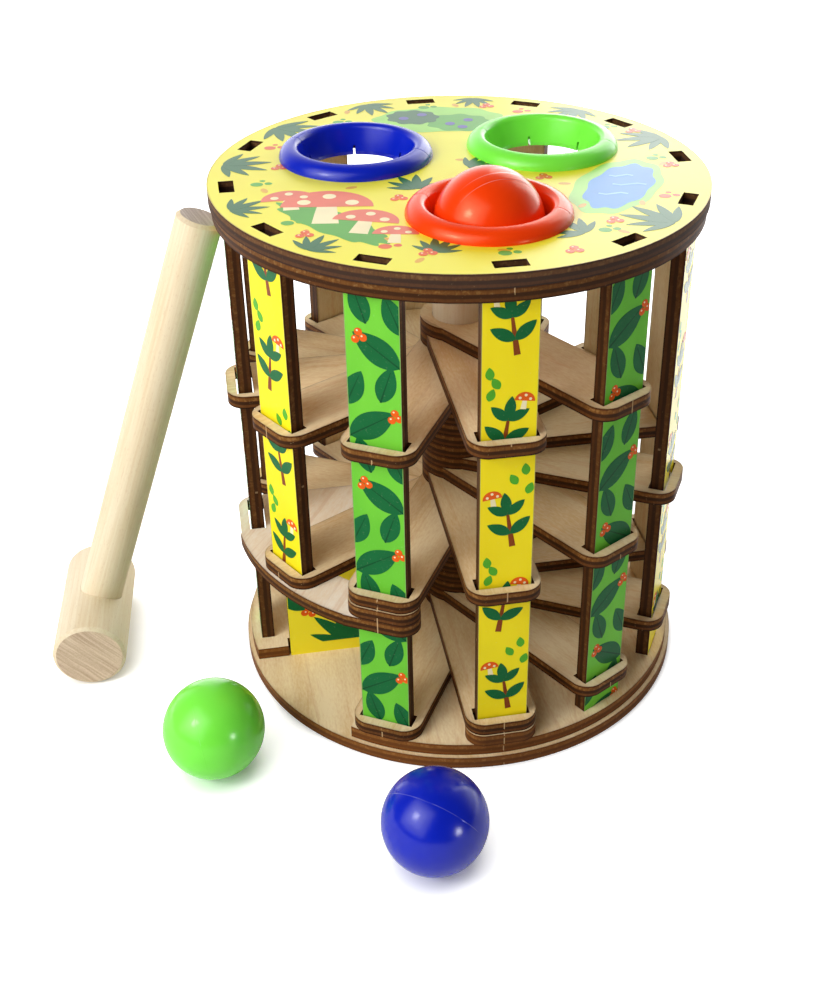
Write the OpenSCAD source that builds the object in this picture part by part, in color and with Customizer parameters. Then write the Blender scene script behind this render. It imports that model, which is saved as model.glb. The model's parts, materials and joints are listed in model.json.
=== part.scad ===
/* [Boards] */
// Thickness of every plywood board
ply = 6; // [5:0.25:7]

/* [Slats] */
// Distance from the tower's axis to the middle of a slat
slat_r = 97.5; // [92:0.5:108]
// Width of a slat
slat_w = 22.4; // [18:0.2:26]
// Width of the tenon at each end of a slat
tenon_w = 13; // [9:0.5:15]
// Gap between a tenon and its slot on each side
tenon_gap = 0.15; // [0.05:0.05:0.3]

/* [Steps] */
// Width of a step
step_w = 32; // [28:0.5:36]
// Reach of a step past the outer face of its slat
step_lip = 5; // [3:0.5:8]
// Radius of a step's outer corners
step_corner = 8.5; // [4:0.5:12]
// Gap between a slat's edges and its slot in a step
slot_end_gap = 1.3; // [0.4:0.1:2]
// Gap between a slat's faces and its slot in a step
slot_face_gap = 0.75; // [0.3:0.05:1.2]
// Diameter of a step's round end on the post
hub_d = 35; // [30:0.5:42]
// Diameter of the centre post
post_d = 24; // [18:0.5:26]
// Gap between the post and its holes
post_gap = 0.1; // [0.05:0.05:0.3]
// Length of a spacer along the radius
spacer_l = 16.5; // [13:0.5:22]
// Reach of a spacer past the end of a step
spacer_lip = 0.6; // [0:0.1:1.5]
// Width of the landing's curved band
band_w = 21; // [16:0.5:26]
// Shift of the band's middle from the slats towards the axis
band_shift = 1; // [0:0.25:3]

/* [Base and top] */
// Reach of the base plate past the slats
base_lip = 6.5; // [4:0.5:20]
// Reach of the deck past the slats
deck_lip = 4.5; // [3:0.5:8]
// Reach of the top plate past the slats
top_lip = 5; // [4:0.5:20]
// Reach of the top frame past the slats
frame_lip = 4; // [3:0.5:8]
// Clear height between the highest step and the top frame
drop_h = 54; // [48:1:80]

/* [Exit] */
// Distance from the first slat's radial line to the panel's printed face
panel_side = 19.9; // [17:0.1:22]
// Distance from the third slat's radial line to the deck's edge
exit_side = 15.9; // [13:0.1:20]
// Gap between the panel's outer end and the slats' inner faces
panel_slat_gap = 7; // [3:0.5:15]
// Gap between the panel's inner end and the lowest step
panel_step_gap = 1; // [0.5:0.1:4]
// Length of the open end of the panel's notch in the deck
notch_gap = 1; // [0.3:0.1:2]

/* [Balls and rims] */
// Diameter of a ball
ball_d = 44.5; // [40:0.5:48]
// Distance from the tower's axis to the middle of a rim
rim_r = 48.9; // [46:0.1:53]
// Direction of the red rim from the axis, counted from the front towards the right
rim_red_az = 17.4; // [10:0.1:24]
// Direction of the green rim from the axis
rim_green_az = 135; // [128:0.1:142]
// Direction of the blue rim from the axis
rim_blue_az = 249.7; // [243:0.1:257]
// Width of a rim's round edge on the top plate
rim_w = 8.5; // [6:0.1:11]
// Height of a rim's round edge above the top plate
rim_h = 5.5; // [4:0.25:8]
// Radius of a rim's inner edge
rim_round = 2.5; // [1:0.1:3.5]
// Gap between a ball and the narrow throat of a rim
throat_gap = 0.3; // [0.3:0.05:0.8]
// Gap between a ball and the wide mouth of a rim
mouth_gap = 2.6; // [1.5:0.1:4]
// Wall of a rim's sleeve at its mouth
sleeve_wall = 1.5; // [1.2:0.1:3]
// Gap between a sleeve and its hole in the top plate
sleeve_gap = 0.1; // [0.05:0.05:0.3]
// Length of a sleeve below the top plate
sleeve_below = 1.6; // [1.2:0.1:3]
// Reach of the snap bead under the top plate
bead = 0.8; // [0.4:0.1:1.5]
// Gap between the snap bead and the top plate
bead_gap = 0.2; // [0.1:0.05:0.5]
// Height of the slope under the snap bead
bead_slope = 0.6; // [0.3:0.1:1]
// Width of the slits in a sleeve
slit_w = 1; // [0.6:0.1:2]
// Height of the slits in a sleeve
slit_h = 4; // [2:0.5:6]
// Depth of a resting ball's middle below the top face
ball_sink = 3.8; // [2:0.1:5]
// Gap between the base plate and the blue ball
blue_gap = 30.7; // [5:0.5:60]
// Gap between the base plate and the green ball
green_gap = 21.5; // [5:0.5:60]
// Direction of the blue ball from the axis, counted from the front towards the right
ball_blue_az = 0; // [-8:0.1:8]
// Direction of the green ball from the axis, counted from the front towards the right
ball_green_az = -42.3; // [-50:0.1:-35]

/* [Mallet] */
// Diameter of the mallet's head
head_d = 34; // [28:0.5:44]
// Length of the mallet's head
head_l = 70; // [50:1:100]
// Diameter of the handle
handle_d = 20.4; // [14:0.2:24]
// Lean of the handle from upright
lean = 19.2; // [12:0.2:26]
// Sideways place of the handle along the slat that it leans on
handle_side = -8.2; // [-10:0.2:4]
// Gap between the handle's end and the top frame
handle_top_gap = 2.5; // [1:0.5:20]
// Gap between the handle and the slat that it leans on
handle_slat_gap = 0.3; // [0.3:0.1:2]
// Wood left under the handle's bore in the head
bore_floor = 7; // [4:0.5:10]
// Gap between the handle and its bore
bore_gap = 0.1; // [0.05:0.05:0.3]
// Bevel on the ends of the head and on the handle's free end
bevel = 1.6; // [0.6:0.1:2.5]
// Bevel on the handle's end in the bore
foot_bevel = 0.4; // [0.2:0.1:1]

/* [Hidden] */
$fn = 96;
// Slats and layers
slats = 12;
pitch = 360/slats;
short_slat = 2;
slat_4_az = 14.5;
layers = 27;
landing_layer = 11;
slat_face = slat_r + ply/2;
slat_back = slat_r - ply/2;
base_r = slat_face + base_lip;
deck_r = slat_face + deck_lip;
top_r = slat_face + top_lip;
frame_r = slat_face + frame_lip;
step_end = slat_face + step_lip;
spacer_end = step_end + spacer_lip;
spacer_corner = min(step_corner, 0.49*spacer_l);
// Heights
deck_z = ply;
steps_z = 2*ply;
frame_z = steps_z + layers*ply + drop_h;
plate_z = frame_z + ply;
top_z = plate_z + ply;
landing_z = layer_z(landing_layer);
// Slots
tenon_slot = [ply + 2*tenon_gap, tenon_w + 2*tenon_gap];
slat_slot = [ply + 2*slot_face_gap, slat_w + 2*slot_end_gap];
post_hole_d = post_d + 2*post_gap;
// Band of the landing and of the top frame
band_in = slat_r - band_shift - band_w/2;
band_out = band_in + band_w;
band_lap = 1;
// Exit panel
panel_out = slat_back - panel_slat_gap;
panel_in = panel_side/tan(2*pitch) + step_w/2/sin(2*pitch) + panel_step_gap;
// Rims
ball_r = ball_d/2;
mouth_r = ball_r + mouth_gap;
throat_r = ball_r + throat_gap;
sleeve_r = mouth_r + sleeve_wall;
crest_r = mouth_r + rim_round;
round_z = rim_h - rim_round;
sleeve_l = ply + sleeve_below;
throat_run = norm([crest_r - throat_r, round_z + ply]);
wall_slope = atan2(crest_r - throat_r, round_z + ply) - asin(rim_round/throat_run);
slits = 6;
ball_z = top_z - ball_sink;
// Mallet, with its handle's end close to the first slat's outer face
mallet_az = -78.9;
head_r = head_d/2;
handle_r = handle_d/2;
handle_reach = (frame_z - handle_top_gap - head_r - handle_r*sin(lean))/cos(lean);
handle_foot = head_r - bore_floor;
mallet_skew = mallet_az - slat_az(1);
handle_u = sin(lean)*cos(mallet_skew);
handle_v = (slat_face + handle_r)*sin(mallet_skew) + handle_side*cos(mallet_skew);
handle_past = max(0, abs(handle_v) - slat_w/2);
handle_half = sqrt(max(0, handle_r*handle_r - handle_past*handle_past));
stand_u = slat_face + handle_slat_gap + handle_half*cos(lean) + (handle_reach - bevel)*handle_u;
mallet_u = (stand_u + handle_side*sin(mallet_skew))/cos(mallet_skew);

function slat_az(i) = slat_4_az + pitch*(i - 4);
function layer_z(k) = ply*(1 + k);
function step_slat(k) = k + 2;

// Turns a shape drawn along +X to the azimuth a, counted from the front towards the right
module at_az(a) {
  rotate([0, 0, a - 90]) children();
}

module at_slat(i) {
  at_az(slat_az(i)) children();
}

// Board from an outline, with its underside at height z
module board(z) {
  translate([0, 0, z]) linear_extrude(height = ply) children();
}

// Plank of a step along +X, with rounded outer corners on the chosen sides
module plank(low, high) {
  r = step_corner;
  translate([0, -step_w/2]) square([step_end - r, step_w]);
  translate([0, -step_w/2 + r]) square([step_end, step_w - 2*r]);
  translate([step_end - r, -step_w/2 + r]) corner(r, low);
  translate([step_end - r, step_w/2 - r]) corner(r, high);
}

module corner(r, is_round) {
  if (is_round) circle(r = r);
  else square(2*r, center = true);
}

module slot(size) {
  translate([slat_r, 0]) square(size, center = true);
}

// Step drawn along +X round the post
module step_outline() {
  difference() {
    union() {
      circle(d = hub_d);
      plank(true, true);
    }
    circle(d = post_hole_d);
    slot(slat_slot);
  }
}

module step(k) {
  color("burlywood") at_slat(step_slat(k)) board(layer_z(k)) step_outline();
}

// Short block round a slat, with its four corners rounded
module block_outline() {
  r = spacer_corner;
  x0 = spacer_end - spacer_l;
  translate([x0 + r, -step_w/2]) square([spacer_l - 2*r, step_w]);
  translate([x0, -step_w/2 + r]) square([spacer_l, step_w - 2*r]);
  for (x = [x0 + r, spacer_end - r], y = [-step_w/2 + r, step_w/2 - r]) translate([x, y]) circle(r = r);
}

module spacer(i, k) {
  color("tan") at_slat(i) board(layer_z(k)) difference() {
    block_outline();
    slot(slat_slot);
  }
}

// Upright slat with a tenon at each end, its shoulders from height z0 to the top frame
module slat(i, z0) {
  shade = i%2 == 0 ? "gold" : "yellowgreen";
  color(shade) at_slat(i) translate([slat_r, 0, 0]) {
    translate([-ply/2, -slat_w/2, z0]) cube([ply, slat_w, frame_z - z0]);
    translate([-ply/2, -tenon_w/2, z0 - ply]) cube([ply, tenon_w, plate_z - z0 + ply]);
  }
}

// Section of a rim from the axis out, with the top plate's upper face at height 0
module rim_section() {
  intersection() {
    translate([crest_r, 0]) scale([(rim_w - rim_round)/rim_h, 1]) circle(r = rim_h);
    translate([crest_r, 0]) square([rim_w, rim_h]);
  }
  intersection() {
    translate([crest_r, round_z]) circle(r = rim_round);
    translate([mouth_r, round_z - rim_round]) square([rim_round, 2*rim_round]);
  }
  polygon([
    [crest_r, round_z],
    [crest_r - rim_round*cos(wall_slope), round_z + rim_round*sin(wall_slope)],
    [throat_r, -ply],
    [throat_r, -sleeve_l],
    [sleeve_r, -sleeve_l],
    [sleeve_r + bead, -sleeve_l + bead_slope],
    [sleeve_r + bead, -ply - bead_gap],
    [sleeve_r, -ply - bead_gap],
    [sleeve_r, 0],
    [crest_r, 0]
  ]);
}

// Rim with its round edge on the plate, its sleeve in the hole and a snap bead under the plate
module rim(az, shade) {
  color(shade) at_az(az) translate([rim_r, 0, top_z]) difference() {
    rotate_extrude() rim_section();
    for (j = [0:slits - 1]) rotate([0, 0, j*360/slits]) translate([0, -slit_w/2, -2*sleeve_l])
      cube([crest_r + rim_w, slit_w, sleeve_l + slit_h]);
  }
}

module ball(shade) {
  color(shade) sphere(d = ball_d);
}

// Round bar along +Z from z0 to z1, with both ends bevelled by b0 and b1
module bar(d, z0, z1, b0, b1) {
  rotate_extrude() polygon([
    [0, z0], [d/2 - b0, z0], [d/2, z0 + b0], [d/2, z1 - b1], [d/2 - b1, z1], [0, z1]
  ]);
}

// Mallet's own frame: the head's middle at the origin, the handle along +Z
module at_mallet() {
  at_az(mallet_az) translate([mallet_u, handle_side, head_r]) rotate([0, -lean, 0]) children();
}

module base_plate() {
  color("peru") cylinder(r = base_r, h = ply);
}

// Half plane on the far side of a line along X, at the distance d on the chosen side
module beyond(d, side) {
  reach = 2*base_r;
  translate([0, side*(d + reach/2)]) square([2*reach, reach], center = true);
}

module base_deck() {
  color("sandybrown") board(deck_z) difference() {
    circle(r = deck_r);
    circle(d = post_hole_d);
    intersection() {
      at_slat(1) beyond(panel_side, 1);
      at_slat(3) beyond(exit_side, -1);
    }
    at_slat(1) translate([panel_in - tenon_gap, panel_side - ply - tenon_gap])
      square([panel_out + notch_gap - panel_in + tenon_gap, ply + 2*tenon_gap]);
    for (i = [1:slats]) if (i != short_slat) at_slat(i) slot(tenon_slot);
  }
}

module exit_panel() {
  color("khaki") at_slat(1) translate([panel_in, panel_side - ply, deck_z])
    cube([panel_out - panel_in, ply, landing_z - deck_z]);
}

module centre_post() {
  color("wheat") translate([0, 0, deck_z]) cylinder(d = post_d, h = plate_z - deck_z);
}

// Sector between two azimuths, out past radius r
module sector(a0, a1, r) {
  polygon([[0, 0], [2*r*sin(a0), -2*r*cos(a0)], [2*r*sin(a1), -2*r*cos(a1)]]);
}

module landing() {
  a = asin((step_w/2 - band_lap)/band_out);
  color("chocolate") board(landing_z) difference() {
    union() {
      circle(d = hub_d);
      at_slat(1) plank(true, false);
      at_slat(3) block_outline();
      at_slat(3) translate([spacer_end - spacer_l, -step_w/2]) square([spacer_l, step_w/2]);
      intersection() {
        difference() {
          circle(r = band_out);
          circle(r = band_in);
        }
        sector(slat_az(1) + a, slat_az(3) - a, band_out);
      }
    }
    circle(d = post_hole_d);
    at_slat(1) slot(slat_slot);
    at_slat(short_slat) slot(tenon_slot);
    at_slat(3) slot(slat_slot);
  }
}

module spacer_low() {
  spacer(4, 1);
}

module spacer_mid() {
  spacer(3, landing_layer + 1);
}

module top_frame() {
  color("peru") board(frame_z) difference() {
    circle(r = frame_r);
    circle(r = band_in);
    for (i = [1:slats]) at_slat(i) slot(tenon_slot);
  }
}

module top_plate() {
  color("khaki") board(plate_z) difference() {
    circle(r = top_r);
    for (i = [1:slats]) at_slat(i) slot(tenon_slot);
    for (az = [rim_red_az, rim_green_az, rim_blue_az]) at_az(az) translate([rim_r, 0])
      circle(r = sleeve_r + sleeve_gap);
  }
}

module rim_red() {
  rim(rim_red_az, "orangered");
}

module rim_green() {
  rim(rim_green_az, "limegreen");
}

module rim_blue() {
  rim(rim_blue_az, "mediumblue");
}

module ball_red() {
  at_az(rim_red_az) translate([rim_r, 0, ball_z]) ball("tomato");
}

module ball_blue() {
  at_az(ball_blue_az) translate([base_r + blue_gap + ball_r, 0, ball_r]) ball("royalblue");
}

module ball_green() {
  at_az(ball_green_az) translate([base_r + green_gap + ball_r, 0, ball_r]) ball("lime");
}

module mallet_head() {
  color("wheat") at_mallet() difference() {
    rotate([90, 0, 0]) bar(head_d, -head_l/2, head_l/2, bevel, bevel);
    translate([0, 0, -handle_foot]) cylinder(r = handle_r + bore_gap, h = head_d);
  }
}

module mallet_handle() {
  color("navajowhite") at_mallet() bar(handle_d, -handle_foot, handle_reach, foot_bevel, bevel);
}

module step_01() {
  step(1);
}

module step_02() {
  step(2);
}

module step_03() {
  step(3);
}

module step_04() {
  step(4);
}

module step_05() {
  step(5);
}

module step_06() {
  step(6);
}

module step_07() {
  step(7);
}

module step_08() {
  step(8);
}

module step_09() {
  step(9);
}

module step_10() {
  step(10);
}

module step_12() {
  step(12);
}

module step_13() {
  step(13);
}

module step_14() {
  step(14);
}

module step_15() {
  step(15);
}

module step_16() {
  step(16);
}

module step_17() {
  step(17);
}

module step_18() {
  step(18);
}

module step_19() {
  step(19);
}

module step_20() {
  step(20);
}

module step_21() {
  step(21);
}

module step_22() {
  step(22);
}

module step_23() {
  step(23);
}

module step_24() {
  step(24);
}

module step_25() {
  step(25);
}

module step_26() {
  step(26);
}

module step_27() {
  step(27);
}

module slat_01() {
  slat(1, steps_z);
}

module slat_02() {
  slat(2, landing_z + ply);
}

module slat_03() {
  slat(3, steps_z);
}

module slat_04() {
  slat(4, steps_z);
}

module slat_05() {
  slat(5, steps_z);
}

module slat_06() {
  slat(6, steps_z);
}

module slat_07() {
  slat(7, steps_z);
}

module slat_08() {
  slat(8, steps_z);
}

module slat_09() {
  slat(9, steps_z);
}

module slat_10() {
  slat(10, steps_z);
}

module slat_11() {
  slat(11, steps_z);
}

module slat_12() {
  slat(12, steps_z);
}

base_plate();
base_deck();
exit_panel();
centre_post();
landing();
step_01();
step_02();
step_03();
step_04();
step_05();
step_06();
step_07();
step_08();
step_09();
step_10();
step_12();
step_13();
step_14();
step_15();
step_16();
step_17();
step_18();
step_19();
step_20();
step_21();
step_22();
step_23();
step_24();
step_25();
step_26();
step_27();
spacer_low();
spacer_mid();
slat_01();
slat_02();
slat_03();
slat_04();
slat_05();
slat_06();
slat_07();
slat_08();
slat_09();
slat_10();
slat_11();
slat_12();
top_frame();
top_plate();
rim_red();
rim_green();
rim_blue();
ball_red();
ball_blue();
ball_green();
mallet_head();
mallet_handle();
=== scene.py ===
import bpy
import json
import math
from mathutils import Matrix, Vector
from mathutils.geometry import normal


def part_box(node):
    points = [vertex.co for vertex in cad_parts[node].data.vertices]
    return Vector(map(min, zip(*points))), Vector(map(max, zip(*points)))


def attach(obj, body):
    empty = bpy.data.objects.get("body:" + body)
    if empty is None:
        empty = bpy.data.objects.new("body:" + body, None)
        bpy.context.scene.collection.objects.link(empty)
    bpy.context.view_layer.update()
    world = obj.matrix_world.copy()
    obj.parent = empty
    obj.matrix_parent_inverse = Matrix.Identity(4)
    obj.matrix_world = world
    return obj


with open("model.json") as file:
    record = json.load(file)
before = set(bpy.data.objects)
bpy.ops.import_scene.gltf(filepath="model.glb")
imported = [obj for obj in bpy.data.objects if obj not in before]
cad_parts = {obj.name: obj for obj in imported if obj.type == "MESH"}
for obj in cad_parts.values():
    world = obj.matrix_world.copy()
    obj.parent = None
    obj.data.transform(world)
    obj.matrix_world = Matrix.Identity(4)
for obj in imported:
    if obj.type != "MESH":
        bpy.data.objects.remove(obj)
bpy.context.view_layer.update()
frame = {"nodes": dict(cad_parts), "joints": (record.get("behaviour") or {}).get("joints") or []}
nodes = frame["nodes"]
MM = 0.001

# Sizes of the object in millimetres, as in the part's source
PLY = 6.0
SLATS = 12
SLAT_4_AZ = 14.5
SLAT_R = 97.5
SLAT_W = 22.4
SLAT_FACE = SLAT_R + PLY / 2
STEP_W = 32.0
STEP_END = 105.5
STEP_CORNER = 8.5
BLOCK_L = 16.5
BLOCK_END = 106.1
BAND_MID = 96.5
BAND_W = 21.0
PANEL_SIDE = 19.9
PANEL_IN = 31.0
PANEL_OUT = 87.5
DECK_TOP = 12.0
LANDING_Z = 72.0
FRAME_Z = 228.0
TOP_Z = 240.0
TOP_R = 105.5
BASE_R = 107.0
DECK_R = 105.0
FRAME_R = 104.5
RIM_EDGE = 33.35
TENON_SLOT = (PLY, 13.0)

# Lean of the mallet's handle, away from upright
LEAN = math.radians(19.2)


def slat_az(i):
    """Azimuth of a slat, counted from the front towards the right."""
    return math.radians(SLAT_4_AZ + 360 / SLATS * (i - 4))


def out_dir(az):
    return Vector((math.sin(az), -math.cos(az), 0))


def side_dir(az):
    return Vector((math.cos(az), math.sin(az), 0))


def node_mid(node):
    lo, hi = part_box(node)
    return (Vector(lo) + Vector(hi)) / 2


def rgb(r, g, b):
    """Screen colour from 0 to 255 as a linear colour."""
    def linear(c):
        c /= 255
        return c / 12.92 if c <= 0.04045 else ((c + 0.055) / 1.055) ** 2.4
    return (linear(r), linear(g), linear(b), 1.0)


def shade(colour, f):
    return tuple(c * f for c in colour[:3]) + (1.0,)


def put(tree, value, socket):
    if isinstance(value, Sock):
        tree.links.new(value.out, socket)
    else:
        socket.default_value = value


class Sock:
    """An output socket that takes arithmetic."""

    def __init__(self, tree, out):
        self.tree = tree
        self.out = out

    def op(self, kind, *args):
        n = self.tree.nodes.new("ShaderNodeMath")
        n.operation = kind
        for socket, value in zip(n.inputs, (self,) + args):
            put(self.tree, value, socket)
        return Sock(self.tree, n.outputs[0])

    def __add__(self, x):
        return self.op("ADD", x)

    def __sub__(self, x):
        return self.op("SUBTRACT", x)

    def __mul__(self, x):
        return self.op("MULTIPLY", x)

    def __truediv__(self, x):
        return self.op("DIVIDE", x)

    def abs(self):
        return self.op("ABSOLUTE")

    def max(self, x):
        return self.op("MAXIMUM", x)

    def min(self, x):
        return self.op("MINIMUM", x)

    def sin(self):
        return self.op("SINE")

    def root(self):
        return self.op("SQRT")

    def fract(self):
        return self.op("FRACT")

    def floor(self):
        return self.op("FLOOR")

    def above(self, x):
        return self.op("GREATER_THAN", x)

    def below(self, x):
        return self.op("LESS_THAN", x)

    def inv(self):
        return self.op("MULTIPLY_ADD", -1.0, 1.0)

    def smooth(self, a, b):
        n = self.tree.nodes.new("ShaderNodeMapRange")
        n.interpolation_type = "SMOOTHSTEP"
        put(self.tree, self, n.inputs[0])
        n.inputs[1].default_value = a
        n.inputs[2].default_value = b
        return Sock(self.tree, n.outputs[0])


class Mat:
    """A node material round one principled shader."""

    def __init__(self, name):
        self.mat = bpy.data.materials.new(name)
        self.mat.use_nodes = True
        self.tree = self.mat.node_tree
        self.bsdf = self.tree.nodes["Principled BSDF"]

    def parts(self, out):
        n = self.tree.nodes.new("ShaderNodeSeparateXYZ")
        self.tree.links.new(out, n.inputs[0])
        return [Sock(self.tree, o) for o in n.outputs]

    def place(self):
        n = self.tree.nodes.new("ShaderNodeTexCoord")
        return self.parts(n.outputs["Object"])

    def facing(self):
        n = self.tree.nodes.new("ShaderNodeTexCoord")
        return self.parts(n.outputs["Normal"])

    def vec(self, *parts):
        n = self.tree.nodes.new("ShaderNodeCombineXYZ")
        for socket, value in zip(n.inputs, parts):
            put(self.tree, value, socket)
        return Sock(self.tree, n.outputs[0])

    def noise(self, vec, scale=1.0, detail=2.0, rough=0.55, bend=0.0):
        n = self.tree.nodes.new("ShaderNodeTexNoise")
        put(self.tree, vec, n.inputs["Vector"])
        n.inputs["Scale"].default_value = scale
        n.inputs["Detail"].default_value = detail
        n.inputs["Roughness"].default_value = rough
        n.inputs["Distortion"].default_value = bend
        return Sock(self.tree, n.outputs[0])

    def ramp(self, f, stops):
        n = self.tree.nodes.new("ShaderNodeValToRGB")
        put(self.tree, f, n.inputs[0])
        stops = list(stops)
        elements = n.color_ramp.elements
        while len(elements) < len(stops):
            elements.new(0.5)
        for element, (position, colour) in zip(elements, stops):
            element.position = position
            element.color = colour
        return Sock(self.tree, n.outputs[0])

    def mix(self, f, a, b):
        n = self.tree.nodes.new("ShaderNodeMix")
        n.data_type = "RGBA"
        put(self.tree, f, n.inputs[0])
        put(self.tree, a, n.inputs[6])
        put(self.tree, b, n.inputs[7])
        return Sock(self.tree, n.outputs[2])

    def bump(self, height, distance, strength=1.0):
        n = self.tree.nodes.new("ShaderNodeBump")
        n.inputs["Strength"].default_value = strength
        n.inputs["Distance"].default_value = distance
        put(self.tree, height, n.inputs["Height"])
        self.tree.links.new(n.outputs[0], self.bsdf.inputs["Normal"])

    def set(self, **sockets):
        for name, value in sockets.items():
            put(self.tree, value, self.bsdf.inputs[name.replace("_", " ")])
        return self.mat


# Wood

PALE = rgb(250, 230, 188)
DEEP = rgb(230, 198, 146)
LINE = rgb(194, 150, 102)
STREAK = rgb(214, 164, 108)
SCORCH = rgb(150, 96, 54)
CHAR = rgb(44, 24, 10)
CORE = rgb(60, 34, 14)
RUST = rgb(80, 43, 16)
BRONZE = rgb(102, 60, 26)
GOLD = rgb(124, 78, 34)
TAN = rgb(152, 92, 42)
HONEY = rgb(174, 126, 70)
SPECK = rgb(214, 178, 130)
# Veneer colours made paler for the landing: painted light for the strong light that falls on its band
PAINTED_LIGHT_PALE = rgb(255, 243, 222)
PAINTED_LIGHT_DEEP = rgb(246, 224, 190)
BEECH_PALE = rgb(241, 226, 196)
BEECH_DEEP = rgb(226, 201, 160)
HEAD_END = rgb(190, 160, 134), rgb(210, 184, 156), rgb(228, 205, 180)
GREY_END = rgb(192, 172, 158), rgb(214, 197, 184), rgb(230, 216, 204)

# Colours through a burnt edge, from the board's underside to its top
EDGE_PLIES = (
    (0.0, CHAR), (0.07, CHAR), (0.12, BRONZE), (0.27, BRONZE), (0.34, CORE),
    (0.55, CORE), (0.62, GOLD), (0.82, GOLD), (0.9, RUST), (1.0, RUST),
)


def veneer(m, along, across, board, pale=PALE, deep=DEEP):
    """Peeled birch: soft broad figure, short flecks, thin darker lines and a rare warm wavy streak."""
    far = across + board * 0.071
    broad = m.noise(m.vec(along * 9.0 + board * 0.137, far * 42.0, board * 3.1), bend=1.2)
    fleck = m.noise(m.vec(along * 330.0, far * 1150.0, board * 7.7), rough=0.6)
    line = m.noise(m.vec(along * 9.0, far * 240.0, board * 5.3), bend=0.8).smooth(0.6, 0.76)
    warm = m.noise(m.vec(along * 5.0, far * 60.0, board * 2.3), bend=1.8)
    streak = (warm - 0.6).abs().smooth(0.004, 0.05).inv()
    stain = m.noise(m.vec(along * 16.0, far * 30.0, board * 1.7), bend=0.6).smooth(0.56, 0.8)
    colour = m.ramp(broad * 0.6 + fleck * 0.4, [(0.36, deep), (0.62, pale)])
    colour = m.mix(line * 0.24, colour, LINE)
    colour = m.mix(streak * 0.24 + stain * 0.22, colour, STREAK)
    return colour, fleck * 0.6 + broad * 0.2 - line * 0.3


def burnt_edge(m, t, run_a, run_b):
    """Laser-cut edge of plywood: two brown plies between charred ones, with fine upright streaks.
    t goes from 0 to 1 through the board, run_a and run_b along its edge."""
    wave = m.noise(m.vec(run_a * 130.0, run_b * 130.0, t * 0.5))
    depth = t + (wave - 0.5) * 0.1
    colour = m.ramp(depth, EDGE_PLIES)
    streak = m.noise(m.vec(run_a * 1200.0, run_b * 1200.0, t * 1.4), rough=0.6)
    colour = m.mix(streak.smooth(0.34, 0.6).inv() * 0.3, colour, CORE)
    blob = m.noise(m.vec(run_a * 480.0, run_b * 480.0, t * 3.0), rough=0.65).smooth(0.5, 0.68)
    upper = depth.smooth(0.52, 0.66) * depth.smooth(0.8, 0.94).inv()
    colour = m.mix(blob * upper * 0.5, colour, HONEY)
    speck = m.noise(m.vec(run_a * 900.0, run_b * 900.0, t * 7.0), rough=0.6).smooth(0.66, 0.8)
    colour = m.mix(speck * 0.4, colour, SPECK)
    return colour, streak


def round_box(p, q, half_p, half_q, r):
    """Signed distance to a rectangle with rounded corners, all in metres."""
    dp = p.abs() - (half_p - r)
    dq = q.abs() - (half_q - r)
    a = dp.max(0.0)
    b = dq.max(0.0)
    return (a * a + b * b).root() + dp.max(dq).min(0.0) - r


def turned(x, y, az):
    """Places x and y as distances out along an azimuth and sideways from it."""
    s = math.sin(az)
    c = math.cos(az)
    return x * s - y * c, x * c + y * s


def plank_edge(x, y, az):
    u, v = turned(x, y, az)
    half = STEP_END * MM
    return round_box(u, v, half, STEP_W / 2 * MM, STEP_CORNER * MM)


def block_edge(x, y, az):
    u, v = turned(x, y, az)
    mid = (BLOCK_END - BLOCK_L / 2) * MM
    return round_box(u - mid, v, BLOCK_L / 2 * MM, STEP_W / 2 * MM, 0.49 * BLOCK_L * MM)


def landing_edge(x, y, az):
    """Plank on the first slat, curved band, and block on the third slat."""
    ring = ((x * x + y * y).root() - BAND_MID * MM).abs() - BAND_W / 2 * MM
    past_plank = turned(x, y, slat_az(1))[1]
    past_block = turned(x, y, slat_az(3))[1]
    band = ring.max(past_plank * -1.0).max(past_block)
    return plank_edge(x, y, slat_az(1)).min(band).min(block_edge(x, y, slat_az(3)))


def disc_edge(radius):
    def edge(x, y, az):
        return (x * x + y * y).root() - radius * MM
    return edge


def board_material(name, az, edge_of, tone=1.0, pale=PALE, deep=DEEP, stain=None, share=0.0):
    """Flat plywood board: veneer on its faces, burnt edges, a pale tab mark where az meets its edge.
    A stain, where there is one, takes its share of the edges' colour."""
    m = Mat(name)
    x, y, z = m.place()
    flat = m.facing()[2].abs().above(0.5)
    u, v = turned(x, y, az)
    layer = z * (1 / (PLY * MM)) - 0.0005
    face, rise = veneer(m, u, v, layer.floor(), shade(pale, tone), shade(deep, tone))
    smoke = m.noise(m.vec(x * 170.0, y * 170.0, z * 170.0))
    near = edge_of(x, y, az) + (smoke - 0.5) * 0.0011
    face = m.mix(near.smooth(-0.003, 0.0002) * 0.16, face, SCORCH)
    face = m.mix(near.smooth(-0.0006, -0.0001) * 0.3, face, RUST)
    edge, streak = burnt_edge(m, layer.fract(), x, y)
    inner = (x * x + y * y).root().smooth(0.03, 0.07).inv()
    edge = m.mix(inner * (smoke * 0.4 + 0.15), edge, CORE)
    if stain:
        edge = m.mix(share, edge, stain)
    tab = v.abs().below(0.00026) * u.above(0.09) * smoke.above(0.47)
    edge = m.mix(tab * 0.7, edge, SPECK)
    colour = m.mix(flat, edge, face)
    m.bump(rise * flat + streak * flat.inv(), 0.0001, 0.5)
    return m.set(Base_Color=colour, Roughness=smoke * 0.1 + 0.55, Specular_IOR_Level=0.08)


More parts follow.
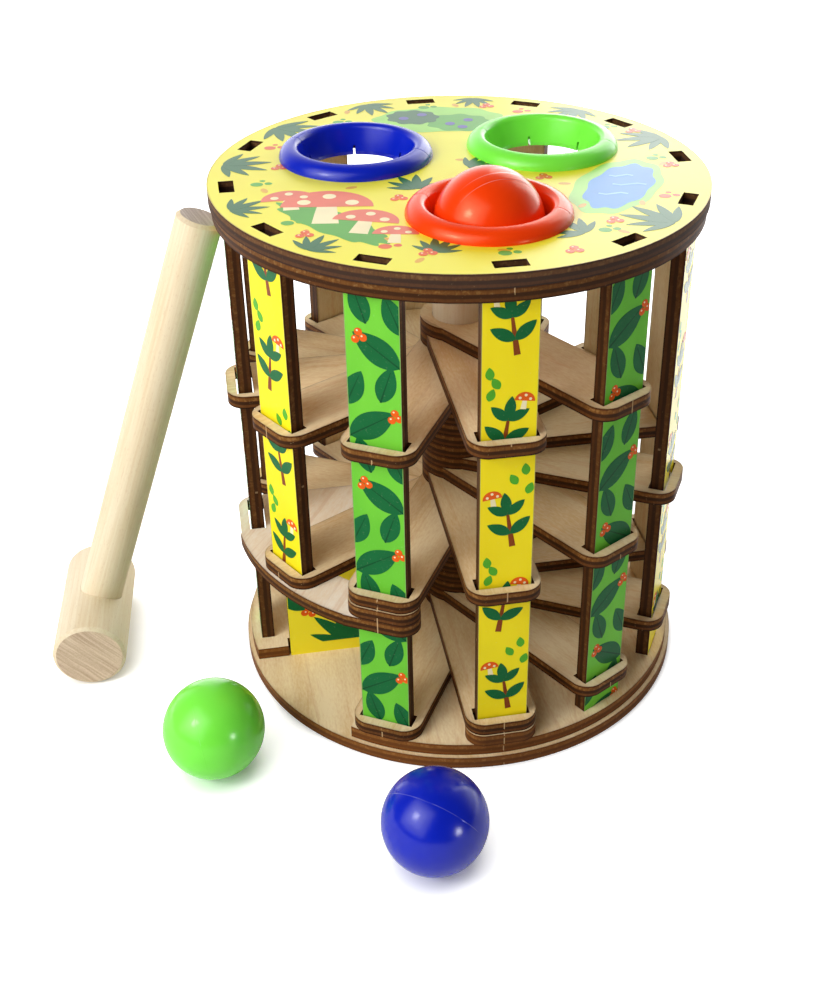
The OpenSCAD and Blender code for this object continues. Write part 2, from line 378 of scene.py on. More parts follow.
SLAT_TONE = 0.86
FLECK = rgb(250, 246, 214)
GREEN_GROUND = rgb(118, 206, 60), rgb(104, 193, 53)
YELLOW_GROUND = rgb(254, 234, 32), rgb(249, 225, 26)
TOP_GROUND = rgb(247, 239, 57), rgb(243, 230, 47)
TOP_FLECK = rgb(255, 252, 226)
PANEL_GROUND = rgb(254, 236, 48)
PANEL_FLECK = rgb(255, 246, 160)
LIP = rgb(150, 150, 120)


def slat_material(i):
    """Upright slat: print ground on its outer face, veneer inside, burnt long edges."""
    m = Mat("slat_%02d" % i)
    x, y, z = m.place()
    nx, ny = m.facing()[:2]
    u, v = turned(x, y, slat_az(i))
    nu = turned(nx, ny, slat_az(i))[0]
    front = nu.above(0.5)
    back = nu.below(-0.5)
    wood, rise = veneer(m, z, v, i * 3.0, shade(PALE, SLAT_TONE), shade(DEEP, SLAT_TONE))
    t = (u - (SLAT_R - PLY / 2) * MM) / (PLY * MM)
    edge, streak = burnt_edge(m, t, z, v)
    edge = m.mix(0.55, edge, CORE)
    nick_z = 0.066 + 0.031 * (i % 4)
    nick = (z - nick_z).abs().below(0.0005) * t.above(0.3) * t.below(0.5)
    edge = m.mix(nick * 0.3, edge, SPECK)
    ground, deep = YELLOW_GROUND if i % 2 == 0 else GREEN_GROUND
    speck = m.noise(m.vec(x, y, z), 900.0, rough=0.6)
    cloud = m.noise(m.vec(v * 40.0, z * 14.0, 0.3 * i))
    ink = m.mix(cloud.smooth(0.3, 0.75), ground, deep)
    ink = m.mix(speck.smooth(0.6, 0.85) * 0.07, ink, FLECK)
    lip = v.abs().above((SLAT_W / 2 - 0.28) * MM)
    ink = m.mix(lip * 0.6, ink, LIP)
    scorch = v.abs().smooth((SLAT_W / 2 - 1.2) * MM, SLAT_W / 2 * MM)
    wood = m.mix(scorch * 0.6, wood, RUST)
    colour = m.mix(front, m.mix(back, edge, wood), ink)
    m.bump(speck * front * 0.2 + rise * back + streak * (front + back).inv(), 0.0001, 0.5)
    return m.set(Base_Color=colour, Roughness=front.inv() * 0.36 + 0.24, Specular_IOR_Level=0.1)


def top_material():
    """Top plate: pale yellow print ground, burnt rim and slot walls, bare underside."""
    m = Mat("top_print")
    x, y, z = m.place()
    nz = m.facing()[2]
    up = nz.above(0.5)
    down = nz.below(-0.5)
    wood, rise = veneer(m, x, y, 41.0)
    edge, streak = burnt_edge(m, (z / (PLY * MM) - 0.0005).fract(), x, y)
    edge = m.mix(0.5, edge, CHAR)
    speck = m.noise(m.vec(x, y, z), 800.0, rough=0.6)
    cloud = m.noise(m.vec(x, y, 0.0), 26.0)
    ground = m.mix(cloud.smooth(0.35, 0.7), *TOP_GROUND)
    ground = m.mix(speck.smooth(0.6, 0.85) * 0.08, ground, TOP_FLECK)
    from_edge = (x * x + y * y).root()
    ground = m.mix(from_edge.smooth((TOP_R - 0.9) * MM, TOP_R * MM) * 0.6, ground, SCORCH)
    colour = m.mix(up, m.mix(down, edge, wood), ground)
    m.bump(speck * up * 0.2 + rise * down + streak * (up + down).inv(), 0.0001, 0.5)
    return m.set(Base_Color=colour, Roughness=up.inv() * 0.6 + 0.28, Specular_IOR_Level=0.4)


def panel_material():
    """Exit panel: print ground on the face towards the exit, veneer behind, burnt edges."""
    m = Mat("panel_print")
    x, y, z = m.place()
    nx, ny = m.facing()[:2]
    u, v = turned(x, y, slat_az(1))
    nv = turned(nx, ny, slat_az(1))[1]
    front = nv.above(0.5)
    back = nv.below(-0.5)
    wood, rise = veneer(m, u, z, 23.0)
    edge, streak = burnt_edge(m, (v - (PANEL_SIDE - PLY) * MM) / (PLY * MM), z, u)
    speck = m.noise(m.vec(x, y, z), 900.0, rough=0.6)
    ground = m.mix(speck.smooth(0.55, 0.85) * 0.1, PANEL_GROUND, PANEL_FLECK)
    colour = m.mix(front, m.mix(back, edge, wood), ground)
    m.bump(speck * front * 0.3 + rise * back + streak * (front + back).inv(), 0.0001, 0.5)
    return m.set(Base_Color=colour, Roughness=front.inv() * 0.2 + 0.4, Specular_IOR_Level=0.18)


def bar_material(name, centre, axis, seed, ring_turn, ends, tone=1.0):
    """Turned hardwood bar: long streaks on its side, thin ring lines and open pores on its ends."""
    m = Mat(name)
    axis = Vector(axis).normalized()
    first = axis.orthogonal().normalized()
    second = axis.cross(first)
    x, y, z = m.place()
    nx, ny, nz = m.facing()

    def along(d, px, py, pz):
        return px * d.x + py * d.y + pz * d.z

    a = along(axis, x, y, z) - axis.dot(centre)
    b = along(first, x, y, z) - first.dot(centre)
    c = along(second, x, y, z) - second.dot(centre)
    end = along(axis, nx, ny, nz).abs().smooth(0.8, 0.95)
    warp = m.noise(m.vec(a * 6.0, b * 34.0 + seed, c * 34.0))
    fine = m.noise(m.vec(a * 24.0, b * 800.0 + seed, c * 800.0), rough=0.6)
    fleck = m.noise(m.vec(a * 420.0, b * 1500.0, c * 1500.0 + seed), rough=0.65).smooth(0.56, 0.72)
    tones = [(0.34, shade(BEECH_DEEP, tone)), (0.6, shade(BEECH_PALE, tone))]
    side = m.ramp(warp * 0.6 + fine * 0.4, tones)
    side = m.mix(fleck * 0.22, side, LINE)
    slope = math.radians(ring_turn)
    p = b * math.cos(slope) + c * math.sin(slope)
    q = c * math.cos(slope) - b * math.sin(slope)
    rings = m.noise(m.vec(p * 30.0 + seed, q * 900.0 + warp * 3.0, a * 4.0), rough=0.6)
    pores = m.noise(m.vec(a * 40.0, b * 1900.0, c * 1900.0), rough=0.6)
    cut = m.ramp(rings * 0.7 + pores * 0.3, zip((0.34, 0.5, 0.64), ends))
    colour = m.mix(end, side, cut)
    m.bump(fine * 0.6 + pores * end, 0.00012, 0.6)
    return m.set(Base_Color=colour, Roughness=fine * 0.1 + 0.52 + end * 0.1, Specular_IOR_Level=0.3)


# Plastic

WHITE = (1, 1, 1, 1)

# Where a parting line fades away from its middle, half the slope at a ridge's sides,
# and where a ridge fades out sideways from the ball's middle, all in metres
LINE_FADE = (0.00006, 0.00026)
RIDGE_SOFT = 0.0007
RIDGE_FADE = (-0.013, 0.001)


def ball_material(name, colour, deep, tint, centre, axis, height, pale, ridge=0.0):
    """Glossy moulded ball with a raised parting line across axis, height metres from its middle.
    A ridge, that many metres wide, lies below the line and fades out to one side."""
    m = Mat(name)
    axis = Vector(axis).normalized()
    x, y, z = m.place()
    h = x * axis.x + y * axis.y + z * axis.z - (axis.dot(centre) + height)
    line = h.abs().smooth(*LINE_FADE).inv()
    raised = line * 0.4
    gap = m.noise(m.vec(x, y, z), 70.0).smooth(0.44, 0.58)
    if ridge:
        line = line.max((h + ridge).abs().smooth(*LINE_FADE).inv())
        gap = (x - centre.x).smooth(*RIDGE_FADE)
        foot = (h + ridge).smooth(-RIDGE_SOFT, RIDGE_SOFT)
        raised = foot * h.smooth(-RIDGE_SOFT, RIDGE_SOFT).inv() * gap * 1.8
    skin = m.noise(m.vec(x, y, z), 420.0)
    flow = m.noise(m.vec(x, y, z), 45.0)
    body = m.mix(flow.smooth(0.3, 0.7) * 0.4, colour, deep)
    # The raised line is real; the white mixed into it is a painted highlight along it
    body = m.mix(line * gap * pale, body, WHITE)
    m.bump(skin * 0.06 + raised, 0.00014, 0.6)
    m.set(Specular_IOR_Level=0.42, Specular_Tint=tint)
    return m.set(Base_Color=body, Roughness=skin * 0.07 + 0.18)


def rim_material(name, colour, deep, tint, centre, seam):
    """Glossy moulded rim with a mould seam across its round edge at two opposite places."""
    m = Mat(name)
    axis = side_dir(seam)
    x, y, z = m.place()
    h = x * axis.x + y * axis.y - axis.dot(centre)
    wave = (z * 800.0).sin() * 0.0005
    line = (h + wave).abs().smooth(0.0001, 0.0007).inv() * z.above(TOP_Z * MM)
    skin = m.noise(m.vec(x, y, z), 350.0)
    flow = m.noise(m.vec(x, y, z), 60.0)
    body = m.mix(flow.smooth(0.3, 0.7) * 0.4, colour, deep)
    # The seam's groove is also darkened with the deeper colour: painted shade in the groove
    body = m.mix(line * 0.35, body, deep)
    m.bump(skin * 0.08 - line, 0.0003, 0.7)
    m.set(Specular_IOR_Level=0.45, Specular_Tint=tint)
    return m.set(Base_Color=body, Roughness=skin * 0.08 + 0.2)


def dress(node, material):
    for slot in nodes[node].material_slots:
        slot.material = material


# Materials on the solids

LAYERS = 27
LANDING_LAYER = 11
STEP_TONE = 0.95
TONE_STEP = 0.02
# How much the steps darken towards the right and lighten towards the left: painted shade and light
PAINTED_SHADE_SLOPE = 0.09
BASE_SHARE = 0.35
for i in range(1, SLATS + 1):
    # Tone varies at random from board to board; the slope term paints shade on the right and light on
    # the left
    tone = STEP_TONE - TONE_STEP * (i % 3) - PAINTED_SHADE_SLOPE * math.sin(slat_az(i))
    ply = board_material("ply_%02d" % i, slat_az(i), plank_edge, tone)
    for k in range(1, LAYERS + 1):
        if (k + 2 - i) % SLATS == 0 and k != LANDING_LAYER:
            dress("step_%02d" % k, ply)
    dress("slat_%02d" % i, slat_material(i))
# The landing's paler veneer is painted light
landing_ply = board_material("ply_landing", slat_az(3), landing_edge, pale=PAINTED_LIGHT_PALE, deep=PAINTED_LIGHT_DEEP)
dress("landing", landing_ply)
dress("spacer_mid", board_material("ply_spacer_mid", slat_az(3), block_edge))
dress("spacer_low", board_material("ply_spacer_low", slat_az(4), block_edge, stain=TAN, share=0.25))
base_ply = board_material("ply_base", slat_az(4), disc_edge(BASE_R), stain=TAN, share=BASE_SHARE)
dress("base_plate", base_ply)
deck_ply = board_material("ply_deck", slat_az(4), disc_edge(DECK_R), stain=TAN, share=BASE_SHARE)
dress("base_deck", deck_ply)
frame_ply = board_material("ply_frame", slat_az(4), disc_edge(FRAME_R), tone=0.9, stain=CORE, share=0.3)
dress("top_frame", frame_ply)
dress("top_plate", top_material())
dress("exit_panel", panel_material())

UP = Vector((0, 0, 1))
FOOT = Vector((0, 0, 0))
mallet = next(j for j in frame["joints"] if j["name"] == "mallet_tip")
head_mid = Vector(mallet["pos_m"])
head_axis = Vector(mallet["axis"])
toward = UP.cross(head_axis).normalized()
handle_axis = toward * math.sin(LEAN) + UP * math.cos(LEAN)
head_wood = bar_material("beech_head", head_mid, head_axis, seed=2.0, ring_turn=88, ends=HEAD_END)
handle_wood = bar_material("beech_handle", head_mid, handle_axis, seed=5.0, ring_turn=80, ends=GREY_END)
# The post's wood is made darker (tone 0.8): painted shade for where it stands under the top plate
post_wood = bar_material("beech_post", FOOT, UP, seed=9.0, ring_turn=40, ends=HEAD_END, tone=0.8)
dress("mallet_head", head_wood)
dress("mallet_handle", handle_wood)
dress("centre_post", post_wood)

# Colour, deeper colour and tint of the gloss
PLASTIC = {
    "red": (rgb(252, 66, 3), rgb(242, 54, 2), (1, 0.88, 0.55, 1)),
    "green": (rgb(130, 248, 76), rgb(116, 240, 62), WHITE),
    "blue": (rgb(3, 33, 190), rgb(2, 24, 172), WHITE),
}

# Axis across a ball's parting line, the line's height on it in metres, how much white is mixed into the
# line as a painted highlight, and a ridge's width in metres
PARTING = {
    "red": ((0.45, -0.89, -0.1), 0.0065, 0.16, 0.0042),
    "green": ((0.9, 0.3, 0.1), -0.006, 0.1),
    "blue": ((0.36, 0.84, 0.41), 0.0, 0.07),
}
SEAM_AZ = math.radians(78)
for name, look in PLASTIC.items():
    rim = "rim_" + name
    ball = "ball_" + name
    dress(rim, rim_material(rim, *look, node_mid(rim), SEAM_AZ))
    dress(ball, ball_material(ball, *look, node_mid(ball), *PARTING[name]))


# Prints: thin shapes on the printed faces, in millimetres on their face

def placed(points, x, y, rot):
    """Points turned by rot degrees and moved to x and y."""
    c = math.cos(math.radians(rot))
    s = math.sin(math.radians(rot))
    return [(x + p * c - q * s, y + p * s + q * c) for p, q in points]


def ell(cx, cy, a, b=None, rot=0.0, n=28):
    """Ellipse with half axes a and b, or a circle."""
    b = b or a
    turns = [2 * math.pi * k / n for k in range(n)]
    return placed([(a * math.cos(t), b * math.sin(t)) for t in turns], cx, cy, rot)


def leaf(x, y, length, width, rot, n=14):
    """Pointed leaf that grows from x and y."""
    stations = [(k / n, 1) for k in range(n + 1)] + [(1 - k / n, -1) for k in range(1, n)]
    outline = []
    for s, side in stations:
        outline.append((s * length, side * width / 2 * math.sin(math.pi * s ** 0.85) ** 0.8))
    return placed(outline, x, y, rot)


def strip(points, w0, w1):
    """Ribbon along points, w0 wide at its start and w1 at its end."""
    left = []
    right = []
    last = len(points) - 1
    for k, (x, y) in enumerate(points):
        x0, y0 = points[max(k - 1, 0)]
        x1, y1 = points[min(k + 1, last)]
        half = (w0 + (w1 - w0) * k / last) / 2 / math.hypot(x1 - x0, y1 - y0)
        left.append((x - (y1 - y0) * half, y + (x1 - x0) * half))
        right.append((x + (y1 - y0) * half, y - (x1 - x0) * half))
    return left + right[::-1]


def wavy(cx, cy, a, b, amp, waves, rot=0.0, n=120):
    """Ellipse with a wavy outline."""
    points = []
    for k, (x, y) in enumerate(ell(cx, cy, a, b, rot, n)):
        f = 1 + amp * math.sin(2 * math.pi * waves * k / n)
        points.append((cx + (x - cx) * f, cy + (y - cy) * f))
    return points


def clip(poly, box):
    """Cuts a shape to a rectangle (x0, y0, x1, y1)."""
    x0, y0, x1, y1 = box
    for axis, limit, sign in ((0, x0, 1), (0, x1, -1), (1, y0, 1), (1, y1, -1)):
        kept = []
        for k, p in enumerate(poly):
            q = poly[k - 1]
            p_in = sign * (p[axis] - limit) >= 0
            q_in = sign * (q[axis] - limit) >= 0
            if p_in != q_in:
                s = (limit - q[axis]) / (p[axis] - q[axis])
                kept.append((q[0] + s * (p[0] - q[0]), q[1] + s * (p[1] - q[1])))
            if p_in:
                kept.append(p)
        poly = kept
    return poly


INK = {
    "dark_green": rgb(18, 104, 54),
    "vein": rgb(10, 78, 42),
    "mid_green": rgb(86, 176, 46),
    "lime": rgb(160, 226, 92),
    "brown": rgb(138, 66, 22),
    "orange": rgb(238, 96, 22),
    "cream": rgb(255, 240, 190),
    "blue": rgb(66, 148, 222),
    "sky": rgb(134, 198, 240),
    "coral": rgb(240, 116, 86),
    "ochre": rgb(234, 176, 50),
    "violet": rgb(98, 92, 176),
}


def ink_material(name, colour, gloss, rough):
    """Printed ink with a fine speckle and a soft cloud."""
    m = Mat(name)
    x, y, z = m.place()
    speck = m.noise(m.vec(x, y, z), 900.0, rough=0.6)
    cloud = m.noise(m.vec(x, y, z), 60.0)
    ink = m.mix(cloud.smooth(0.3, 0.7) * 0.6, colour, shade(colour, 0.84))
    ink = m.mix(speck.smooth(0.6, 0.85) * 0.07, ink, FLECK)
    m.bump(speck, 0.00003, 0.4)
    return m.set(Base_Color=ink, Roughness=speck * 0.06 + rough, Specular_IOR_Level=gloss)


# Height of the lowest film's top above the printed face, what each level adds to it,
# and the small step that keeps films of one level apart
FILM = 0.03
LEVEL = 0.02
APART = 0.0025
APART_TURN = 7


class Prints:
    """Thin films of ink, gathered by colour, each colour one mesh on the tower."""

    def __init__(self, name, slot, gloss, rough):
        self.name = name
        self.slot = slot
        self.finish = (gloss, rough)
        self.count = 0
        self.films = {}

    def add(self, ink, poly, to_3d, level):
        """Level 0 lies lowest, and shapes that cross lie on different levels."""
        if len(poly) < 3:
            return
        self.count += 1
        lift = FILM + LEVEL * level + APART * (self.count % APART_TURN)
        upper = [to_3d(p, lift) * MM for p in poly]
        lower = [to_3d(p, lift / 4) * MM for p in poly]
        if normal(upper).dot(upper[0] - lower[0]) < 0:
            upper.reverse()
            lower.reverse()
        self.films.setdefault(ink, []).append((upper, lower))

    def build(self):
        for ink, films in self.films.items():
            name = "print_%s_%s" % (self.name, ink)
            points = []
            faces = []
            for upper, lower in films:
                start = len(points)
                n = len(upper)
                points += upper + lower
                top = [start + k for k in range(n)]
                faces.append(top)
                faces.append([k + n for k in reversed(top)])
                faces += [(top[k - 1], top[k - 1] + n, top[k] + n, top[k]) for k in range(n)]
            mesh = bpy.data.meshes.new(name)
            mesh.from_pydata(points, [], faces)
            mesh.materials.append(ink_material("ink_%s_%s" % (self.name, ink), INK[ink], *self.finish))
            ob = bpy.data.objects.new(name, mesh)
            bpy.context.scene.collection.objects.link(ob)
            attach(ob, "tower")


def sprig(add, x, y, h, rot, pairs, size):
    """Upright twig with pairs of leaves and one at its tip."""
    ux = math.cos(math.radians(rot))
    uy = math.sin(math.radians(rot))

    def on_twig(s):
        return x + ux * h * s, y + uy * h * s

    add("brown", strip([on_twig(s) for s in (0, 0.5, 1)], 2.2 * size, 0.8 * size), 1)
    for k in range(pairs):
        s = 0.34 + 0.5 * k / max(pairs - 1, 1)
        grow = (1.2 - 0.3 * s) * size
        for side in (1, -1):
            add("dark_green", leaf(*on_twig(s), 8.4 * grow, 3.8 * grow, rot + side * 54), 2)
    add("dark_green", leaf(*on_twig(0.9), 8 * size, 3.8 * size, rot), 3)


def tuft(add, x, y, length, width, rot, spread=64, blades=5):
    """Fan of broad leaves from one point."""
    for k in range(blades):
        turn = spread * (2 * k / (blades - 1) - 1)
        grow = 1 - 0.3 * abs(turn) / spread
        add("dark_green", leaf(x, y, length * grow, width * grow, rot + turn), 2 + k % 2)


def toadstool(add, x, y, s, rot, cap):
    """Spotted cap on a pale stem."""
    def turn(points):
        return placed(points, x, y, rot - 90)

    add("cream", turn(strip([(0, -2.8 * s), (0, -1 * s), (0, 0.4 * s)], 1.7 * s, 1.2 * s)), 2)
    turns = [math.pi * k / 18 for k in range(19)]
    add(cap, turn([(3 * s * math.cos(t), 2.8 * s * math.sin(t)) for t in turns]), 3)
    for p, q in ((-1.5, 0.8), (0.1, 1.8), (1.6, 0.7)):
        add("cream", turn(ell(p * s, q * s, 0.44 * s)), 4)


def berries(add, x, y, s):
    """Three berries with a gleam on each."""
    for p, q in ((0, 0), (2.9, 0.9), (1.2, 2.9)):
        add("orange", ell(x + p * s, y + q * s, 1.5 * s), 4)
        add("cream", ell(x + p * s - 0.4 * s, y + q * s + 0.5 * s, 0.36 * s), 5)


def veined(add, x, y, length, width, rot):
    """Broad leaf with a midrib."""
    r = math.radians(rot)
    tip = (x + math.cos(r) * length * 0.86, y + math.sin(r) * length * 0.86)
    mid = ((x + tip[0]) / 2, (y + tip[1]) / 2)
    add("dark_green", leaf(x, y, length, width, rot), 1)
    add("vein", strip([(x, y), mid, tip], 0.8, 0.3), 2)


# Heights after which the slats' prints repeat, size of the large berries,
# and the bare strip along a print's edges
YELLOW_PITCH = 44
GREEN_PITCH = 33
BERRY_SIZE = 1.2
SLAT_MARGIN = 0.35
PANEL_MARGIN = 0.3


def slat_prints():
    """Twigs and toadstools on the yellow slats, broad leaves and berries on the green ones."""
    prints = Prints("slat", "print_green", gloss=0.1, rough=0.22)
    for i in range(1, SLATS + 1):
        low = LANDING_Z + PLY if i == 2 else DECK_TOP
        box = (-SLAT_W / 2 + SLAT_MARGIN, low, SLAT_W / 2 - SLAT_MARGIN, FRAME_Z)
        out = out_dir(slat_az(i))
        side = side_dir(slat_az(i))

        def on_slat(p, lift):
            return out * (SLAT_FACE + lift) + side * p[0] + Vector((0, 0, p[1]))

        def add(ink, poly, level):
            prints.add(ink, clip(poly, box), on_slat, level)

        start = (i * 17) % YELLOW_PITCH - 40
        if i % 2 == 0:
            for j in range(7):
                z = start + YELLOW_PITCH * j
                w = 1 if j % 2 else -1
                sprig(add, w * 2.6, z, h=19, rot=90 + w * 8, pairs=2, size=1.2)
                toadstool(add, -w * 6.0, z + 24, s=1.35, rot=90 + w * 8, cap="orange")
                for p, q, turn in ((w * 8.2, 25, 70), (w * 4.0, 30, 120), (w * 7.6, 34, 95)):
                    add("mid_green", leaf(p, z + q, 5.6, 3.6, turn), 1)
        else:
            for j in range(9):
                z = start + GREEN_PITCH * j
                w = 1 if j % 2 else -1
                veined(add, w * 11, z, length=23, width=11.5, rot=90 + w * 56)
                veined(add, w * 12, z + 14, length=17, width=9, rot=90 + w * 24)
                veined(add, -w * 2.5, z + 17, length=17, width=8.5, rot=90 + w * 18)
                berries(add, -w * 7.0, z + 10, s=1.1)
    prints.build()


def panel_prints():
    """Tufts of broad leaves with a few berries."""
    prints = Prints("panel", "print_panel", gloss=0.1, rough=0.38)
    out = out_dir(slat_az(1))
    side = side_dir(slat_az(1))
    inset = PANEL_MARGIN
    box = (PANEL_IN + inset, DECK_TOP + inset, PANEL_OUT - inset, LANDING_Z - inset)

    def on_panel(p, lift):
        return out * p[0] + side * (PANEL_SIDE + lift) + Vector((0, 0, p[1]))

    def add(ink, poly, level):
        prints.add(ink, clip(poly, box), on_panel, level)

    tuft(add, 52, 6, length=40, width=9, rot=82, spread=58, blades=7)
    tuft(add, 86, 34, length=26, width=7, rot=120, spread=50, blades=5)
    tuft(add, 34, 40, length=30, width=8, rot=70, spread=50, blades=5)
    for x, y in ((76, 30), (60, 58)):
        berries(add, x, y, BERRY_SIZE)
    prints.build()


# Azimuth in degrees and length of the tufts along the top's edge
EDGE_TUFTS = (
    (-90.5, 22), (-60.5, 17), (-30.5, 16), (59.5, 24), (119.5, 23),
    (149.5, 19), (179.5, 15), (209.5, 18), (239.5, 24),
)
EDGE_TUFT_R = 101

# Place, length and turn of the tufts further in, and places and sizes of the rest
INNER_TUFTS = ((-16, -22, 18, 110), (3, 6, 16, 30), (52, -64, 18, 140), (-4, -86, 15, 80))
TOADSTOOLS = ((-50, -44, 6.2, 96), (-33, -58, 4.4, 84), (-66, -38, 3.8, 104), (-20, -70, 3.0, 92))
BUSH_DOTS = ((-8, 62), (0, 68), (-2, 58), (-30, 68), (-22, 74))
TOP_BERRIES = (
    (-24, -34), (-74, 34), (46, -82), (88, 12), (6, 88), (-78, -2),
    (-8, -88), (34, -6), (74, 56), (62, -52), (-56, -74),
)
POND_X = 67
POND_Y = -13
RIPPLES = ((-3, -9, 6), (4, 2, 7), (1, 12, 5))
SPOT_R = 88
SEEDS = 40


def top_prints():
    """Pond, bushes and toadstools between the rims, with leaves and berries along the edge."""
    prints = Prints("top", "print_top", gloss=0.4, rough=0.26)
    rims = [node_mid("rim_" + name) / MM for name in PLASTIC]

    def on_top(p, lift):
        return Vector((p[0], p[1], TOP_Z + lift))

    def tucked(p):
        """Point moved out from under a rim, and in from the plate's edge."""
        x, y = p
        clear = RIM_EDGE + 0.05
        for c in rims:
            d = math.hypot(x - c.x, y - c.y)
            if d < clear:
                f = clear / d
                x = c.x + (x - c.x) * f
                y = c.y + (y - c.y) * f
        f = min(1, (TOP_R - 1) / math.hypot(x, y))
        return x * f, y * f

    def in_slot(p):
        for i in range(1, SLATS + 1):
            q = Vector((p[0], p[1], 0))
            u = q.dot(out_dir(slat_az(i))) - SLAT_R
            v = q.dot(side_dir(slat_az(i)))
            if abs(u) < TENON_SLOT[0] / 2 + 0.5 and abs(v) < TENON_SLOT[1] / 2 + 0.5:
                return True
        return False

    def add(ink, poly, level):
        moved = [tucked(p) for p in poly]
        stay = sum(math.dist(p, q) < 0.01 for p, q in zip(poly, moved))
        if stay > 0.5 * len(poly) and not any(in_slot(p) for p in moved):
            prints.add(ink, moved, on_top, level)

    add("lime", wavy(POND_X - 1, POND_Y, 33, 17, amp=0.03, waves=9, rot=70), 0)
    add("blue", wavy(POND_X, POND_Y, 27, 12.5, amp=0.05, waves=9, rot=70), 1)
    for dx, dy, w in RIPPLES:
        x = POND_X + dx
        y = POND_Y + dy
        path = [(x + w * s, y + 1.2 * math.sin(3 * s)) for s in (-1, -0.5, 0, 0.5, 1)]
        add("sky", strip(path, 1.4, 1.4), 2)
    add("mid_green", wavy(-46, -60, 30, 9, amp=0.06, waves=12, rot=-40), 0)
    for x, y, s, rot in TOADSTOOLS:
        toadstool(add, x, y, s, rot, "coral")
    add("lime", wavy(-14, 68, 30, 18, amp=0.04, waves=9, rot=10), 0)
    add("mid_green", wavy(-4, 64, 15, 12, amp=0.06, waves=9), 1)
    add("dark_green", wavy(-26, 70, 12, 10, amp=0.06, waves=9), 2)
    for x, y in BUSH_DOTS:
        add("violet", ell(x, y, 2.3), 3)
    for az, length in EDGE_TUFTS:
        r = math.radians(az)
        x = EDGE_TUFT_R * math.sin(r)
        y = -EDGE_TUFT_R * math.cos(r)
        tuft(add, x, y, length, length * 0.23, 90 + az, spread=68, blades=6)
    for x, y, length, rot in INNER_TUFTS:
        tuft(add, x, y, length, length * 0.25, rot, spread=68, blades=6)
    for x, y in TOP_BERRIES:
        berries(add, x, y, BERRY_SIZE)
    for k in range(SEEDS):
        turn = k * 2.4
        r = 14 + 13.0 * math.sqrt(k)
        add("ochre", ell(r * math.sin(turn), r * math.cos(turn), 2.6, 1.3, 30 * k, 16), 0)
    for i in range(1, SLATS + 1):
        spot = out_dir(slat_az(i)) * (SPOT_R - 3 * (i % 2))
        ink = "mid_green" if i % 3 else "orange"
        for dx, dy, r in ((0, 0, 2.6), (4.6, 1.4, 1.6), (1.6, 4.2, 1.2)):
            add(ink, ell(spot.x + dx, spot.y + dy, r, r * 0.85), 1)
    prints.build()


slat_prints()
panel_prints()
top_prints()


# Floor, light and camera

# What the floor's look gains: everywhere, away from contact (its lack near contact paints a contact
# shadow), far off, and in reflections in front and behind
FLOOR_LIFT = 0.1
FLOOR_OPEN = 0.78
FLOOR_FAR = 0.5
FLOOR_MIRRORED = 0.2
BACK_MIRRORED = 1.7
CONTACT = 0.03
FLOOR_HALF = 6.0
PAPER = (0.9, 0.9, 0.9, 1), (0.86, 0.86, 0.85, 1)


def floor():
    """White paper that keeps a light shadow, seen a little brighter than it lights the object, with a
    painted contact shadow close to things.
    """
    half = FLOOR_HALF
    mesh = bpy.data.meshes.new("floor")
    corners = [(-half, -half, 0), (half, -half, 0), (half, half, 0), (-half, half, 0)]
    mesh.from_pydata(corners, [], [(0, 1, 2, 3)])
    ob = bpy.data.objects.new("floor", mesh)
    bpy.context.scene.collection.objects.link(ob)
    m = Mat("floor_paper")
    x, y, z = m.place()
    tooth = m.noise(m.vec(x, y, z), 300.0)
    paper = m.mix(tooth * 0.1, *PAPER)
    m.set(Base_Color=paper, Roughness=0.9, Specular_IOR_Level=0.05)
    glow = m.tree.nodes.new("ShaderNodeEmission")
    path = m.tree.nodes.new("ShaderNodeLightPath")
    back = y.smooth(-0.02, 0.12)
    mirrored = Sock(m.tree, path.outputs["Is Glossy Ray"]) * (back * BACK_MIRRORED + FLOOR_MIRRORED)
    seen = Sock(m.tree, path.outputs["Is Camera Ray"]).max(mirrored)
    far = (x * x + y * y).root().smooth(0.3, 1.0)
    # Ambient occlusion dims the glow close to things, which paints a contact shadow on the floor
    near = m.tree.nodes.new("ShaderNodeAmbientOcclusion")
    near.inputs["Distance"].default_value = CONTACT
    free = Sock(m.tree, near.outputs["AO"]).smooth(0.36, 0.84)
    put(m.tree, seen * (far * FLOOR_FAR + free * FLOOR_OPEN + FLOOR_LIFT), glow.inputs["Strength"])
    both = m.tree.nodes.new("ShaderNodeAddShader")
    m.tree.links.new(m.bsdf.outputs[0], both.inputs[0])
    m.tree.links.new(glow.outputs[0], both.inputs[1])
    m.tree.links.new(both.outputs[0], m.tree.nodes["Material Output"].inputs["Surface"])
    mesh.materials.append(m.mat)


def lamp(name, az, rise, distance, size, power, gleam_only=False):
    """Square soft light at an azimuth and elevation in degrees, turned to the middle of the tower."""
    data = bpy.data.lights.new(name, "AREA")
    data.energy = power
    data.size = size
    aim = Vector((0, 0, TOP_Z / 2 * MM))
    level = math.cos(math.radians(rise)) * distance
    height = math.sin(math.radians(rise)) * distance
    ob = bpy.data.objects.new(name, data)
    ob.location = aim + out_dir(math.radians(az)) * level + Vector((0, 0, height))
    ob.rotation_euler = (aim - ob.location).to_track_quat("-Z", "Y").to_euler()
    ob.visible_diffuse = not gleam_only
    bpy.context.scene.collection.objects.link(ob)


# Strength of the world in front, behind at any height, and more of it low behind
SKY_FRONT = 0.1
SKY_BEHIND = 0.6
SKY_LOW = 1.4


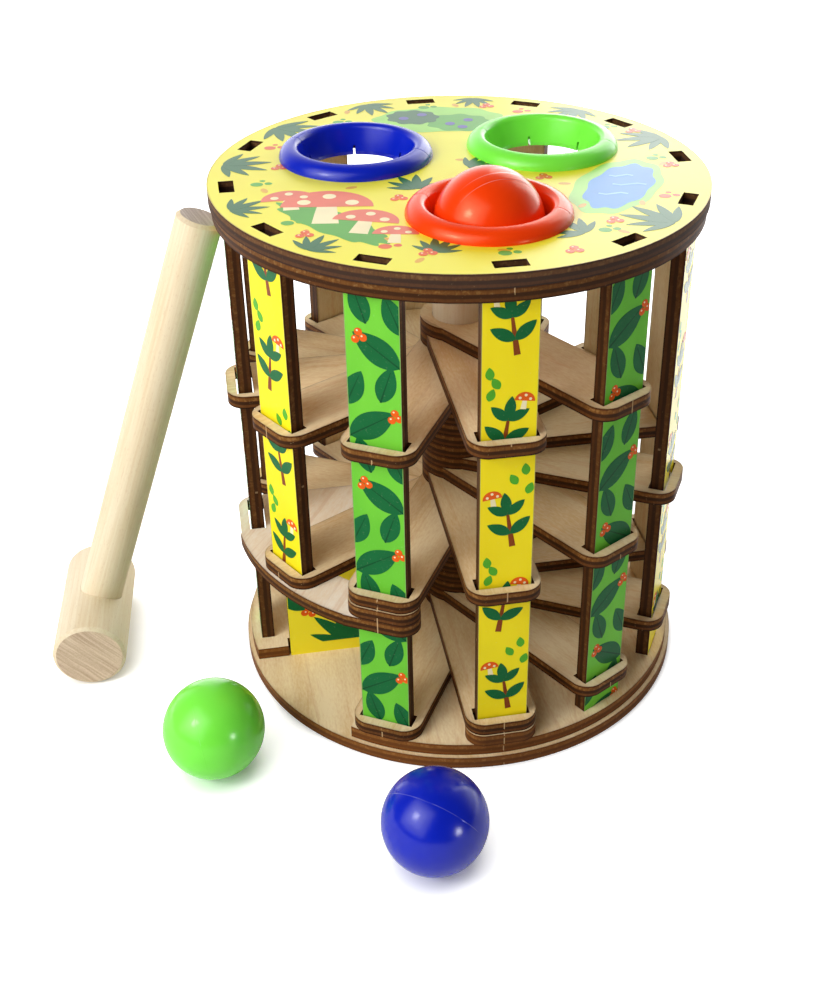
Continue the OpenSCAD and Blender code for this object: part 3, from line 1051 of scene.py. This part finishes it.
def studio():
    """World that is dim in front and above, and pale low behind, as a white backdrop would be."""
    world = bpy.data.worlds.new("studio")
    world.use_nodes = True
    tree = world.node_tree
    coord = tree.nodes.new("ShaderNodeTexCoord")
    split = tree.nodes.new("ShaderNodeSeparateXYZ")
    tree.links.new(coord.outputs["Generated"], split.inputs[0])
    x, y, z = [Sock(tree, part) for part in split.outputs]
    behind = (y * 0.99 + x * 0.1).smooth(0.1, 0.95)
    low = z.smooth(0.2, 0.6).inv()
    seen = Sock(tree, tree.nodes.new("ShaderNodeLightPath").outputs["Is Camera Ray"])
    strength = behind * (low * SKY_LOW + SKY_BEHIND) + SKY_FRONT
    background = tree.nodes["Background"]
    put(tree, strength.max(seen), background.inputs["Strength"])
    background.inputs["Color"].default_value = WHITE
    bpy.context.scene.world = world


floor()
lamp("left_box", az=-44, rise=35, distance=1.2, size=1.36, power=9.8)
lamp("left_mid", az=-45, rise=35, distance=1.195, size=0.8, power=3.6)
lamp("left_core", az=-46, rise=35, distance=1.19, size=0.228, power=2.6)
lamp("back_box", az=155, rise=27, distance=1.0, size=0.8, power=4.7)
lamp("side_spot", az=46, rise=4, distance=0.9, size=0.14, power=1.5, gleam_only=True)
studio()

# Camera fitted to the photograph
PHOTO_H = 1000
FOCAL = 1366.02
SENSOR = 36.0
EYE = Vector((0.03293, -0.55313, 0.44162))
LOOK = Vector((-0.05032, 0.84531, -0.53190)).normalized()
ROLL = math.radians(0.081)
SHIFT = (-0.05236, -0.03512)
FARTHEST = 30

scene = bpy.context.scene
cam = bpy.data.cameras.new("camera")
cam.sensor_width = SENSOR
cam.lens = FOCAL / PHOTO_H * SENSOR
cam.shift_x = SHIFT[0]
cam.shift_y = SHIFT[1]
cam.clip_end = FARTHEST
cam_ob = bpy.data.objects.new("camera", cam)
level = LOOK.cross(UP).normalized()
rise = level.cross(LOOK)
right = level * math.cos(ROLL) + rise * math.sin(ROLL)
up = rise * math.cos(ROLL) - level * math.sin(ROLL)
cam_ob.matrix_world = Matrix.Translation(EYE) @ Matrix((right, up, -LOOK)).transposed().to_4x4()
scene.collection.objects.link(cam_ob)
scene.camera = cam_ob
scene.view_settings.view_transform = "Standard"
